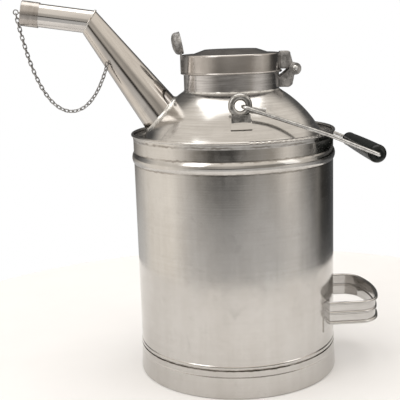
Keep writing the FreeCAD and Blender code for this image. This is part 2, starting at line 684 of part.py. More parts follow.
save("body_shell", body_shell())
save("rim_wire", rim_wire())
save("bottom_plate", bottom_plate())
save("foot_ring", foot_ring())
save("foot_wire", foot_wire())
save("shoulder_dome", shoulder_dome())
save("shoulder_gutter", shoulder_gutter())
save("filler_neck", filler_neck())
save("neck_solder", neck_solder())
save("lid_shell", lid_shell())
save("lid_edge_wire", lid_edge_wire())
save("lid_gasket", lid_gasket())
save("thumb_tab", thumb_tab())
save("hinge_neck_bracket", hinge_neck_bracket())
save("hinge_pin", hinge_pin())
save("hinge_lid_bracket", hinge_lid_bracket())
save("spout_lower_tube", spout_lower_tube())
save("spout_upper_tube", spout_upper_tube())
save("spout_base_solder", spout_base_solder())
save("spout_cap", spout_cap())
save("cap_seal", cap_seal())
save("cap_eye", cap_eye())
save("chain_anchor_eye", chain_anchor_eye())
save("cap_chain", cap_chain())
for name, side in SIDES:
    save("ear_ring_" + name, ear_ring(side))
    save("ear_saddle_" + name, ear_saddle(side))
save("bail_wire", bail_wire())
save("bail_grip", bail_grip())
save("rear_handle_strap", rear_handle_strap())
save("rear_handle_wires", rear_handle_wires())
save("rear_handle_flanges", rear_handle_flanges())
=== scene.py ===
import math

import bpy
from mathutils import Matrix, Vector, noise

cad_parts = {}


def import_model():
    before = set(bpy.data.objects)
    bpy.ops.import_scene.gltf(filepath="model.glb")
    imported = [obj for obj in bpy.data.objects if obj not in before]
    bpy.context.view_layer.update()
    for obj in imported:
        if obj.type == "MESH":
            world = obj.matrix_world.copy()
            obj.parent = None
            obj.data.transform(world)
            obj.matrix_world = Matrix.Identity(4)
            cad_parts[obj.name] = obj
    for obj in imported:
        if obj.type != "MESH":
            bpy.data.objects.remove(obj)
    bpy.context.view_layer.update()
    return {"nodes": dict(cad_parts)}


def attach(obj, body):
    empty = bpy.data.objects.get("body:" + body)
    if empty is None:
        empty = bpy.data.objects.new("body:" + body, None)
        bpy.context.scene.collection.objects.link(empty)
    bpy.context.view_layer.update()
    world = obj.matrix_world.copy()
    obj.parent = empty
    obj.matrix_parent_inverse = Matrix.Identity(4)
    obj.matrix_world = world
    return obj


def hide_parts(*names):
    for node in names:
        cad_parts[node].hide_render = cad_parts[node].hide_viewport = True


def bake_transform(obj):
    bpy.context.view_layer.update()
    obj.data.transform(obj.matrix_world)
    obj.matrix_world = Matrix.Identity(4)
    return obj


# The looks of a tinplate filling can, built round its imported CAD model.
# Metres, in the row frame: +Z up, +X the back with hinge and hand loop, -X the spout side.

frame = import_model()
nodes = frame["nodes"]

# Sizes repeated from the CAD, in metres
BODY_R = 0.110
NECK_R = 0.052
DOME_TOP = (NECK_R, 0.3134)
DOME_FOOT = (0.0975, 0.2655)
DOME_CROWN = 0.0043
SPOUT_BASE = Vector((-0.0799, 0, 0.2923))
SPOUT_ELBOW = Vector((-0.1505, 0, 0.3907))
SPOUT_BASE_R, SPOUT_ELBOW_R, NOZZLE_R = 0.0229, 0.0128, 0.0124
CONE_DIR = (SPOUT_ELBOW - SPOUT_BASE).normalized()
CONE_LENGTH = (SPOUT_ELBOW - SPOUT_BASE).length
NOZZLE_RISE = math.radians(9.07)
NOZZLE_DIR = Vector((-math.cos(NOZZLE_RISE), 0, math.sin(NOZZLE_RISE)))
CAP_END = 0.0536 + 0.0187           # from the elbow to the cap's end face
CAP_EYE_REACH, ANCHOR_REACH = 0.0058, 0.0032
ANCHOR_SHARE, ANCHOR_TURN = 0.62, math.radians(50)
EYE_R, EYE_WIRE_R = 0.0025, 0.0006
LINK_COUNT, LINK_PITCH = 41, 0.00465
LINK_WIRE_R, LINK_LONG, LINK_WIDE, LINK_SLACK = 0.0006, 0.0073, 0.0046, 0.0002
CHAIN_TWIST = math.radians(52)
BEAD_HEIGHTS = (0.2368, 0.2497, 0.2638)     # the bead's two edges, and the flare under the rim
RING_TOP = 0.0312                   # the foot ring's top edge

# The photograph's viewpoint, fitted to the can
CAMERA_PLACE = (-0.09535, -0.92567, 0.38019)
CAMERA_AZIMUTH, CAMERA_PITCH = math.radians(-5.881), math.radians(11.507)
CAMERA_PAN, CAMERA_ROLL = math.radians(-2.377), math.radians(-1.885)
LENS_MM, SENSOR_MM = 75.88, 36

FLOOR_R = 0.50
BURIED = 0.0001                     # how far solder reaches into the sheet under it
Y, Z = Vector((0, 1, 0)), Vector((0, 0, 1))


# ---- Meshes ----

def mesh_piece(name, verts, faces):
    """A smooth-shaded mesh object."""
    mesh = bpy.data.meshes.new(name)
    mesh.from_pydata([tuple(v) for v in verts], [], faces)
    mesh.validate()
    mesh.polygons.foreach_set("use_smooth", [True] * len(mesh.polygons))
    obj = bpy.data.objects.new(name, mesh)
    bpy.context.scene.collection.objects.link(obj)
    return obj


def grid_faces(rows, columns, first=0, close_rows=True, close_columns=True):
    """Quads between a grid's rows and columns, each way closed or not."""
    faces = []
    for i in range(rows if close_rows else rows - 1):
        for j in range(columns if close_columns else columns - 1):
            a, b = i * columns + j, i * columns + (j + 1) % columns
            c, d = ((i + 1) % rows) * columns + (j + 1) % columns, ((i + 1) % rows) * columns + j
            faces.append((first + a, first + b, first + c, first + d))
    return faces


def lump(place, size, seed=0.0):
    """Smooth noise from about -1 to 1 that varies over this length."""
    return noise.noise(Vector(place) / size + Vector((seed, seed * 1.7, seed * 0.3)))


# ---- Chain ----

def catenary(start, end, length):
    """The curve of a hanging chain: a function from the length along it to place and direction."""
    across = Vector((end.x - start.x, end.y - start.y, 0))
    span, rise = across.length, end.z - start.z
    across.normalize()
    pull = math.sqrt(length ** 2 - rise ** 2)
    low, high = 0.001, 1.0
    while high - low > 1e-12:
        scale = (low + high) / 2
        if 2 * scale * math.sinh(span / (2 * scale)) > pull:
            low = scale
        else:
            high = scale
    lowest = span / 2 - scale * math.atanh(rise / length)
    first = scale * math.sinh(-lowest / scale)

    def at(along):
        u = scale * math.asinh((first + along) / scale)
        drop = scale * (math.cosh(u / scale) - math.cosh(lowest / scale))
        direction = (across + Z * math.sinh(u / scale)).normalized()
        return start + across * (u + lowest) + Z * drop, direction
    return at


def link_points(segments=12, sides=10):
    """The rings of one oval link about its own centre, long axis along X, in the XY plane."""
    bend_r = LINK_WIDE / 2 - LINK_WIRE_R
    half = LINK_LONG / 2 - LINK_WIRE_R - bend_r
    path = []
    for end in (1, -1):
        for i in range(segments + 1):
            angle = math.radians(-90 + 180 * i / segments) + (0 if end > 0 else math.pi)
            middle = Vector((half * end, 0, 0))
            out = Vector((math.cos(angle), math.sin(angle), 0))
            path.append((middle + out * bend_r, out))
    rings = []
    for centre, out in path:
        for j in range(sides):
            turn = 2 * math.pi * j / sides
            rings.append(centre + (out * math.cos(turn) + Z * math.sin(turn)) * LINK_WIRE_R)
    return rings, len(path), sides


def chain():
    """The hanging chain, each link a quarter turn from the last and slightly askew."""
    under = Vector((-CONE_DIR.z, 0, CONE_DIR.x))
    out = under * math.cos(ANCHOR_TURN) - Y * math.sin(ANCHOR_TURN)
    radius = SPOUT_BASE_R + (SPOUT_ELBOW_R - SPOUT_BASE_R) * ANCHOR_SHARE
    eye = SPOUT_BASE + CONE_DIR * (CONE_LENGTH * ANCHOR_SHARE) + out * (radius + ANCHOR_REACH)
    reach = EYE_R - EYE_WIRE_R - LINK_SLACK - 2 * LINK_WIRE_R + (LINK_LONG - LINK_PITCH) / 2
    start = SPOUT_ELBOW + NOZZLE_DIR * (CAP_END + CAP_EYE_REACH) - Z * reach
    end = eye - Z * reach
    at = catenary(start, end, LINK_COUNT * LINK_PITCH)
    ring, rows, sides = link_points()
    verts, faces = [], []
    for number in range(LINK_COUNT):
        place, along = at((number + 0.5) * LINK_PITCH)
        askew = 0.0 if number in (0, LINK_COUNT - 1) else 0.22 * lump((number, 0, 0), 1.37, 4.0)
        roll = math.radians(90 * (number % 2)) + CHAIN_TWIST * number / (LINK_COUNT - 1) + askew
        out_of_curve = along.cross(Y).normalized()
        side = out_of_curve.cross(along) * math.cos(roll) + out_of_curve * math.sin(roll)
        up = along.cross(side)
        turn = Matrix((along, side, up)).transposed()
        first = len(verts)
        verts += [place + turn @ p for p in ring]
        faces += grid_faces(rows, sides, first)
    piece = mesh_piece("chain_links", verts, faces)
    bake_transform(piece)
    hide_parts("cap_chain")
    return piece


# ---- Solder ----

def dome_circle():
    """Centre and radius of the shoulder's arc, in (r, z)."""
    top, foot = Vector(DOME_TOP), Vector(DOME_FOOT)
    chord = foot - top
    out = Vector((-chord.y, chord.x)).normalized()
    middle = (top + foot) / 2 + out * DOME_CROWN
    radius = ((chord.length / 2) ** 2 + DOME_CROWN ** 2) / (2 * DOME_CROWN)
    return middle - out * radius, radius


DOME_CENTRE, DOME_ARC_R = dome_circle()


def on_dome(point, height=0.0):
    """The nearest place on the shoulder to a point, and the shoulder's normal there."""
    r = math.hypot(point.x, point.y)
    flat = (Vector((r, point.z)) - DOME_CENTRE).normalized()
    round_z = Vector((point.x / r, point.y / r, 0))
    normal = (round_z * flat.x + Z * flat.y).normalized()
    ring = DOME_CENTRE + flat * (DOME_ARC_R + height)
    return round_z * ring.x + Z * ring.y, normal


def fillet(name, slices):
    """A closed solder fillet. Each slice gives its wall, corner, floor and buried points."""
    steps = 9
    verts = []
    for wall, corner, floor, buried in slices:
        for j in range(steps):
            t = j / (steps - 1)
            verts.append(wall * (1 - t) ** 2 + corner * (2 * t * (1 - t)) + floor * t ** 2)
        verts.append(buried)
    piece = mesh_piece(name, verts, grid_faces(len(slices), steps + 1))
    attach(piece, "can")
    return piece


def neck_fillet():
    """Solder round the foot of the neck."""
    slices = []
    count = 360
    high = DOME_TOP[1]
    low = high - 0.0014
    for i in range(count):
        angle = 2 * math.pi * i / count
        out = Vector((math.cos(angle), math.sin(angle), 0))
        wide = 0.0014 + 0.0004 * lump(out * NECK_R, 0.014) + 0.0003 * lump(out * NECK_R, 0.004, 3)
        tall = 0.0010 + 0.0004 * lump(out * NECK_R, 0.011, 7) + 0.0003 * lump(out * NECK_R, 0.003, 5)
        floor = on_dome(out * (NECK_R + wide) + Z * low, -BURIED)[0]
        slices.append((out * (NECK_R - BURIED) + Z * (high + tall),
                       out * (NECK_R + 0.0004) + Z * (high + BURIED), floor,
                       out * (NECK_R - 0.0005) + Z * low))
    piece = fillet("neck_solder_bead", slices)
    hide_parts("neck_solder")
    return piece


def elbow_bead():
    """A thin solder bead round the spout's mitred elbow."""
    plane = (NOZZLE_DIR + CONE_DIR).normalized()
    across = NOZZLE_DIR.cross(Y).normalized()
    count, sides = 160, 10
    line = []
    for i in range(count):
        angle = 2 * math.pi * i / count
        out = across * math.cos(angle) + Y * math.sin(angle)
        along = -out.dot(plane) * NOZZLE_R / NOZZLE_DIR.dot(plane)
        line.append(SPOUT_ELBOW + out * (NOZZLE_R + BURIED) + NOZZLE_DIR * along)
    verts = []
    for i, place in enumerate(line):
        ahead = (line[(i + 1) % count] - line[i - 1]).normalized()
        radius = 0.00075 + 0.0002 * lump(place, 0.004)
        side = ahead.cross(plane).normalized()
        for j in range(sides):
            turn = 2 * math.pi * j / sides
            verts.append(place + (plane * 1.5 * math.cos(turn) + side * math.sin(turn)) * radius)
    piece = mesh_piece("elbow_solder_bead", verts, grid_faces(count, sides))
    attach(piece, "can")
    return piece


def spout_fillet():
    """Solder along the line where the spout meets the shoulder."""
    across = CONE_DIR.cross(Y).normalized()
    count = 240

    def ray(angle, along):
        out = across * math.cos(angle) + Y * math.sin(angle)
        radius = SPOUT_BASE_R + (SPOUT_ELBOW_R - SPOUT_BASE_R) * along / CONE_LENGTH
        return SPOUT_BASE + CONE_DIR * along + out * radius, out

    def above(point):
        return (Vector((math.hypot(point.x, point.y), point.z)) - DOME_CENTRE).length - DOME_ARC_R

    meets = []
    for i in range(count):
        angle = 2 * math.pi * i / count
        low, high = -0.030, 0.040
        for _ in range(50):
            along = (low + high) / 2
            if above(ray(angle, along)[0]) < 0:
                low = along
            else:
                high = along
        meets.append((angle, along))
    slices = []
    for i, (angle, along) in enumerate(meets):
        place, out = ray(angle, along)
        before, after = ray(*meets[i - 1])[0], ray(*meets[(i + 1) % count])[0]
        normal = on_dome(place)[1]
        away = normal.cross(after - before).normalized()
        if away.dot(out) < 0:
            away = -away
        wide = 0.0034 + 0.0009 * lump(place, 0.012) + 0.0004 * lump(place, 0.004, 2)
        tall = 0.0032 + 0.0009 * lump(place, 0.010, 6) + 0.0004 * lump(place, 0.0035, 9)
        wall = ray(angle, along + tall)[0] - out * BURIED
        floor = on_dome(place + away * wide, -BURIED)[0]
        corner = place + (away + normal) * 0.0005
        slices.append((wall, corner, floor, place - normal * 0.0012 - out * 0.0004))
    piece = fillet("spout_solder_bead", slices)
    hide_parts("spout_base_solder")
    return piece


# ---- Materials ----

class Graph:
    """A material's nodes, made with short calls."""

    def __init__(self, name):
        self.material = bpy.data.materials.new(name)
        self.material.use_nodes = True
        self.tree = self.material.node_tree
        self.tree.nodes.clear()
        self.shader = self.add("ShaderNodeBsdfPrincipled")
        output = self.add("ShaderNodeOutputMaterial")
        self.tree.links.new(self.shader.outputs[0], output.inputs[0])
        self.place = self.add("ShaderNodeTexCoord").outputs["Object"]

    def add(self, kind, **settings):
        node = self.tree.nodes.new(kind)
        for key, value in settings.items():
            setattr(node, key, value)
        return node

    def put(self, socket, value):
        if isinstance(value, bpy.types.NodeSocket):
            self.tree.links.new(value, socket)
        else:
            socket.default_value = value

    def maths(self, operation, a, b=0.0):
        node = self.add("ShaderNodeMath", operation=operation)
        self.put(node.inputs[0], a)
        self.put(node.inputs[1], b)
        return node.outputs[0]

    def noise(self, scale, detail=4.0, rough=0.55, at=None, stretch=None, distortion=0.0):
        """Noise from 0 to 1. scale is in cells per metre."""
        at = at or self.place
        if stretch:
            mapping = self.add("ShaderNodeMapping")
            self.put(mapping.inputs["Vector"], at)
            mapping.inputs["Scale"].default_value = stretch
            at = mapping.outputs[0]
        node = self.add("ShaderNodeTexNoise")
        self.put(node.inputs["Vector"], at)
        node.inputs["Scale"].default_value = scale
        node.inputs["Detail"].default_value = detail
        node.inputs["Roughness"].default_value = rough
        node.inputs["Distortion"].default_value = distortion
        return node.outputs[0]

    def cells(self, scale):
        node = self.add("ShaderNodeTexVoronoi", feature="F1")
        self.put(node.inputs["Vector"], self.place)
        node.inputs["Scale"].default_value = scale
        return node

    def remap(self, value, low, high, to_low=0.0, to_high=1.0):
        node = self.add("ShaderNodeMapRange", interpolation_type="SMOOTHSTEP")
        self.put(node.inputs["Value"], value)
        for name, number in (("From Min", low), ("From Max", high), ("To Min", to_low), ("To Max", to_high)):
            node.inputs[name].default_value = number
        return node.outputs[0]

    def mix(self, share, a, b):
        """A colour between a and b."""
        node = self.add("ShaderNodeMix", data_type="RGBA")
        self.put(node.inputs[0], share)
        self.put(node.inputs[6], a if isinstance(a, bpy.types.NodeSocket) else (*a, 1))
        self.put(node.inputs[7], b if isinstance(b, bpy.types.NodeSocket) else (*b, 1))
        return node.outputs[2]

    def split(self):
        """The x, y and z of a place on the object."""
        return self.add_split(self.place)

    def add_split(self, vector):
        node = self.add("ShaderNodeSeparateXYZ")
        self.put(node.inputs[0], vector)
        return node.outputs

    def join(self, x, y, z):
        node = self.add("ShaderNodeCombineXYZ")
        for socket, value in zip(node.inputs, (x, y, z)):
            self.put(socket, value)
        return node.outputs[0]

    def around(self):
        """Place unrolled about the Z axis: arc length at the body's radius, height, distance out."""
        x, y, z = self.split()
        angle = self.maths("ARCTAN2", y, x)
        square = self.maths("ADD", self.maths("MULTIPLY", x, x), self.maths("MULTIPLY", y, y))
        out = self.maths("SQRT", square)
        return self.join(self.maths("MULTIPLY", angle, BODY_R), z, out)

    def band(self, value, centre, half, soft):
        """1 within half of centre, fading to 0 over soft."""
        off = self.maths("ABSOLUTE", self.maths("SUBTRACT", value, centre))
        return self.remap(off, half, half + soft, 1.0, 0.0)

    def bump(self, layers):
        """Bump from (height, depth in metres) layers."""
        normal = None
        for height, depth in layers:
            node = self.add("ShaderNodeBump")
            node.inputs["Strength"].default_value = 1.0
            node.inputs["Distance"].default_value = depth
            self.put(node.inputs["Height"], height)
            if normal:
                self.put(node.inputs["Normal"], normal)
            normal = node.outputs[0]
        self.put(self.shader.inputs["Normal"], normal)

    def surface(self, colour, roughness, metal=1.0, **constants):
        self.put(self.shader.inputs["Base Color"], colour)
        self.put(self.shader.inputs["Roughness"], roughness)
        self.shader.inputs["Metallic"].default_value = metal
        for name, value in constants.items():
            self.shader.inputs[name.replace("_", " ")].default_value = value
        return self.material


def rolled_sheet(name, light, dark, streak, at=None, rough=(0.10, 0.20), painted_shade=None, runs=None):
    """Satin tinplate, streaked along the first coordinate of at. runs adds streaks across those."""
    g = Graph(name)
    at = at(g) if at else g.place
    clouds = g.noise(9.0, 3.0, 0.6)
    smudge = g.noise(38.0, 4.0, 0.62, distortion=0.6)
    lines = g.noise(1.0, 3.0, 0.6, at=at, stretch=streak)
    fine = g.noise(1.0, 2.0, 0.7, at=at, stretch=tuple(4.2 * s for s in streak))
    spangle = g.cells(170.0)
    layers = [(g.noise(26.0, 2.0, 0.5), 0.00006)]
    streaks = lines
    if runs:
        across = g.noise(1.0, 3.0, 0.6, at=at, stretch=runs)
        streaks = g.maths("ADD", g.maths("MULTIPLY", lines, 0.4), g.maths("MULTIPLY", across, 0.6))
        layers += [(lines, 0.000006), (fine, 0.000003), (across, 0.00003)]
    else:
        layers += [(lines, 0.000012), (fine, 0.000005)]
    tone = g.maths("ADD", g.maths("MULTIPLY", clouds, 0.55), g.maths("MULTIPLY", streaks, 0.45))
    colour = g.mix(g.remap(tone, 0.36, 0.64), dark, light)
    stain = g.remap(smudge, 0.60, 0.78, 0.0, 0.28)
    colour = g.mix(stain, colour, tuple(0.55 * c for c in dark))
    colour = g.mix(g.maths("MULTIPLY", spangle.outputs["Color"], 0.06), colour, (0.93, 0.92, 0.90))
    if painted_shade:
        # Painted shade, a dark brown, in the corners of the beads and along the foot ring's top edge
        colour = g.mix(painted_shade(g), colour, (0.10, 0.075, 0.05))
    roughness = g.remap(g.maths("ADD", g.maths("MULTIPLY", smudge, 0.6), g.maths("MULTIPLY", streaks, 0.4)),
                        0.34, 0.66, *rough)
    g.bump(layers)
    return g.surface(colour, roughness, Anisotropic=0.25)


def body_painted_shade(g):
    """Painted shade: darkening in the corners of the body's beads and along the foot ring's top edge, ragged
    and patchy.
    """
    z = g.split()[2]
    ragged = g.maths("MULTIPLY", g.maths("SUBTRACT", g.noise(160.0, 4.0), 0.5), 0.004)
    height = g.maths("ADD", z, ragged)
    total = 0.0
    for centre, share in zip((RING_TOP, *BEAD_HEIGHTS), (0.75, 0.5, 0.5, 0.6)):
        total = g.maths("MAXIMUM", total, g.maths("MULTIPLY", g.band(height, centre, 0.0004, 0.0012), share))
    return g.maths("MULTIPLY", total, g.remap(g.noise(55.0, 3.0), 0.35, 0.6, 0.3, 1.0))


def spun(g):
    """Coordinates whose first runs round the Z axis, for spun and pressed tops."""
    parts = g.add_split(g.around())
    return g.join(parts[0], parts[2], parts[1])


def along_spout(direction):
    """Coordinates whose first runs along a tube that lies in the XZ plane."""
    def at(g):
        x, y, z = g.split()
        run = g.maths("ADD", g.maths("MULTIPLY", x, direction.x), g.maths("MULTIPLY", z, direction.z))
        rise = g.maths("SUBTRACT", g.maths("MULTIPLY", x, direction.z), g.maths("MULTIPLY", z, direction.x))
        return g.join(run, y, rise)
    return at


PALE, BROWN = (0.57, 0.555, 0.535), (0.49, 0.47, 0.445)


def make_materials():
    unrolled = Graph.around
    # The body's colour carries painted shade in its bead corners and along the foot ring's top edge
    body = rolled_sheet("tinplate_body", PALE, BROWN, (6.0, 800.0, 30.0), at=unrolled, painted_shade=body_painted_shade,
                        runs=(95.0, 7.0, 30.0))
    top = rolled_sheet("tinplate_spun", PALE, (0.47, 0.455, 0.435), (14.0, 700.0, 60.0), at=spun,
                       rough=(0.13, 0.23))
    lid = rolled_sheet("tinplate_lid", (0.50, 0.475, 0.455), (0.40, 0.375, 0.355), (14.0, 700.0, 60.0),
                       at=spun, rough=(0.12, 0.22))
    neck = rolled_sheet("tinplate_neck", (0.58, 0.57, 0.57), (0.42, 0.41, 0.41), (12.0, 520.0, 40.0),
                        at=unrolled, rough=(0.13, 0.24))
    cone = rolled_sheet("tinplate_spout", (0.58, 0.55, 0.515), (0.44, 0.41, 0.385), (16.0, 260.0, 260.0),
                        at=along_spout(CONE_DIR), rough=(0.08, 0.15))
    tube = rolled_sheet("tinplate_nozzle", (0.60, 0.58, 0.56), (0.47, 0.45, 0.43), (16.0, 260.0, 260.0),
                        at=along_spout(NOZZLE_DIR), rough=(0.08, 0.15))
    cap = rolled_sheet("cap_satin", (0.40, 0.37, 0.345), (0.31, 0.285, 0.26), (240.0, 30.0, 30.0),
                       at=along_spout(NOZZLE_DIR), rough=(0.22, 0.32))
    strap = rolled_sheet("tinplate_strap", (0.56, 0.55, 0.535), (0.42, 0.405, 0.39), (20.0, 20.0, 420.0))
    return {"body": body, "top": top, "lid": lid, "neck": neck, "cone": cone, "tube": tube, "cap": cap,
            "strap": strap, "solder": solder(), "cast": cast(), "plated": plated(), "wire": wire(),
            "edge": edge_wire(), "chain": nickel(), "rubber": rubber(), "plastic": plastic()}


def solder():
    """Bright soft solder, lumpy, with brown flux left in its hollows."""
    g = Graph("solder_bright")
    lumps = g.noise(190.0, 4.0, 0.6, distortion=0.4)
    flux = g.remap(g.noise(95.0, 5.0, 0.65), 0.56, 0.72, 0.0, 0.7)
    colour = g.mix(g.remap(lumps, 0.35, 0.6), (0.50, 0.49, 0.47), (0.68, 0.67, 0.65))
    colour = g.mix(flux, colour, (0.24, 0.18, 0.12))
    g.bump([(lumps, 0.0005), (g.noise(900.0, 3.0), 0.00006)])
    return g.surface(colour, g.remap(lumps, 0.3, 0.7, 0.16, 0.34))


def cast():
    """Dull zinc casting with a grainy, pitted skin and rubbed high spots."""
    g = Graph("zinc_casting")
    grain = g.noise(620.0, 5.0, 0.7)
    pits = g.remap(g.cells(420.0).outputs["Distance"], 0.10, 0.32)
    blotch = g.remap(g.noise(110.0, 4.0), 0.38, 0.64)
    colour = g.mix(blotch, (0.22, 0.215, 0.21), (0.46, 0.45, 0.44))
    colour = g.mix(g.maths("SUBTRACT", 1.0, pits), colour, (0.10, 0.095, 0.09))
    g.bump([(grain, 0.00035), (pits, 0.00018)])
    return g.surface(colour, g.remap(grain, 0.3, 0.7, 0.30, 0.56), metal=0.92)


def plated():
    """Zinc-plated steel of the ears: cloudy plate, darker in patches, finely scratched."""
    g = Graph("zinc_plate")
    clouds = g.noise(140.0, 4.0, 0.6)
    scratch = g.noise(1.0, 2.0, 0.6, stretch=(160.0, 160.0, 1500.0))
    colour = g.mix(g.remap(clouds, 0.36, 0.62), (0.24, 0.235, 0.225), (0.46, 0.45, 0.435))
    g.bump([(clouds, 0.00012), (scratch, 0.00001)])
    return g.surface(colour, g.remap(g.maths("ADD", clouds, g.maths("MULTIPLY", scratch, 0.3)), 0.45, 0.85,
                                     0.18, 0.36))


def wire():
    """Bright zinc-plated wire with draw marks and small rubs."""
    g = Graph("wire_bright")
    rub = g.noise(230.0, 4.0, 0.6)
    draw = g.noise(1.0, 2.0, 0.6, stretch=(60.0, 1300.0, 1300.0))
    colour = g.mix(g.remap(rub, 0.36, 0.66), (0.42, 0.415, 0.41), (0.66, 0.66, 0.65))
    g.bump([(draw, 0.00001), (rub, 0.00003)])
    return g.surface(colour, g.remap(rub, 0.3, 0.7, 0.12, 0.26))


def edge_wire():
    """Plain drawn steel wire, grey with light rust."""
    g = Graph("wire_plain")
    rust = g.remap(g.noise(160.0, 5.0, 0.7), 0.58, 0.74, 0.0, 0.6)
    colour = g.mix(rust, (0.55, 0.54, 0.53), (0.28, 0.16, 0.09))
    g.bump([(g.noise(700.0, 3.0), 0.00003)])
    return g.surface(colour, g.remap(rust, 0.0, 0.6, 0.25, 0.55), metal=0.95)


def nickel():
    """Bright nickel plate with faint dulling."""
    g = Graph("nickel_plate")
    haze = g.noise(300.0, 3.0, 0.6)
    colour = g.mix(g.remap(haze, 0.35, 0.65), (0.22, 0.215, 0.21), (0.42, 0.415, 0.41))
    g.bump([(g.noise(1200.0, 3.0), 0.00002)])
    return g.surface(colour, g.remap(haze, 0.3, 0.7, 0.08, 0.2))


def rubber():
    """Matt black gasket rubber with a dusty bloom."""
    g = Graph("rubber_black")
    bloom = g.noise(120.0, 4.0, 0.6)
    colour = g.mix(g.remap(bloom, 0.45, 0.75), (0.020, 0.020, 0.021), (0.075, 0.072, 0.068))
    g.bump([(g.noise(900.0, 4.0), 0.00008)])
    return g.surface(colour, g.remap(bloom, 0.3, 0.7, 0.62, 0.85), metal=0.0)


def plastic():
    """Glossy black moulding, faintly green, with orange-peel and fine handling scratches."""
    g = Graph("plastic_black")
    haze = g.noise(90.0, 4.0, 0.6)
    scratch = g.remap(g.noise(1.0, 2.0, 0.7, stretch=(900.0, 60.0, 900.0)), 0.60, 0.72)
    colour = g.mix(g.remap(haze, 0.4, 0.7), (0.003, 0.0045, 0.004), (0.009, 0.012, 0.011))
    g.bump([(g.noise(330.0, 2.0), 0.00006), (scratch, 0.000012)])
    roughness = g.maths("ADD", g.remap(haze, 0.3, 0.7, 0.13, 0.24), g.maths("MULTIPLY", scratch, 0.12))
    return g.surface(colour, roughness, metal=0.0, Specular_IOR_Level=0.22)


def dress(materials):
    """Gives every CAD node its material."""
    looks = {
        "body": ("body_shell", "foot_ring", "bottom_plate"),
        "top": ("shoulder_dome", "shoulder_gutter", "ear_saddle_left", "ear_saddle_right"),
        "neck": ("filler_neck",),
        "lid": ("lid_shell",),
        "cone": ("spout_lower_tube",),
        "tube": ("spout_upper_tube",),
        "cap": ("spout_cap",),
        "strap": ("rear_handle_strap", "rear_handle_flanges"),
        "cast": ("hinge_neck_bracket", "hinge_lid_bracket", "thumb_tab"),
        "plated": ("ear_ring_left", "ear_ring_right"),
        "wire": ("bail_wire", "hinge_pin"),
        "edge": ("rim_wire", "foot_wire", "lid_edge_wire", "rear_handle_wires"),
        "chain": ("cap_chain", "cap_eye", "chain_anchor_eye"),
        "solder": ("neck_solder", "spout_base_solder"),
        "rubber": ("lid_gasket", "cap_seal"),
        "plastic": ("bail_grip",),
    }
    for look, names in looks.items():
        for name in names:
            set_material(nodes[name], materials[look])


def set_material(obj, material):
    obj.data.materials.clear()
    obj.data.materials.append(material)


def roughen(name, voxel, depth, cell):
    """Rounds a casting's edges and gives it an uneven skin."""
    obj = nodes[name]
    remesh = obj.modifiers.new("skin", "REMESH")
    remesh.mode = "VOXEL"
    remesh.voxel_size = voxel
    remesh.use_smooth_shade = True
    soften = obj.modifiers.new("soften", "SMOOTH")
    soften.factor = 0.5
    soften.iterations = 4
    texture = bpy.data.textures.new(name + "_skin", "CLOUDS")
    texture.noise_scale = cell
    texture.noise_depth = 2
    uneven = obj.modifiers.new("uneven", "DISPLACE")
    uneven.texture = texture
    uneven.texture_coords = "LOCAL"
    uneven.strength = depth
    uneven.mid_level = 0.55


# ---- Studio ----

def floor():
    """A round pale floor under the can."""
    rings, sides = 40, 128
    verts = [Vector((0, 0, 0))]
    faces = []
    for i in range(1, rings + 1):
        r = FLOOR_R * i / rings
        verts += [Vector((r * math.cos(2 * math.pi * j / sides), r * math.sin(2 * math.pi * j / sides), 0))
                  for j in range(sides)]
    for j in range(sides):
        faces.append((0, 1 + j, 1 + (j + 1) % sides))
    faces += [tuple(reversed(f)) for f in grid_faces(rings, sides, 1, close_rows=False)]
    piece = mesh_piece("studio_floor", verts, faces)
    g = Graph("floor_pale")
    tint = g.noise(14.0, 3.0)
    g.surface(g.mix(tint, (0.90, 0.90, 0.91), (0.94, 0.94, 0.95)), 0.75, metal=0.0)
    set_material(piece, g.material)


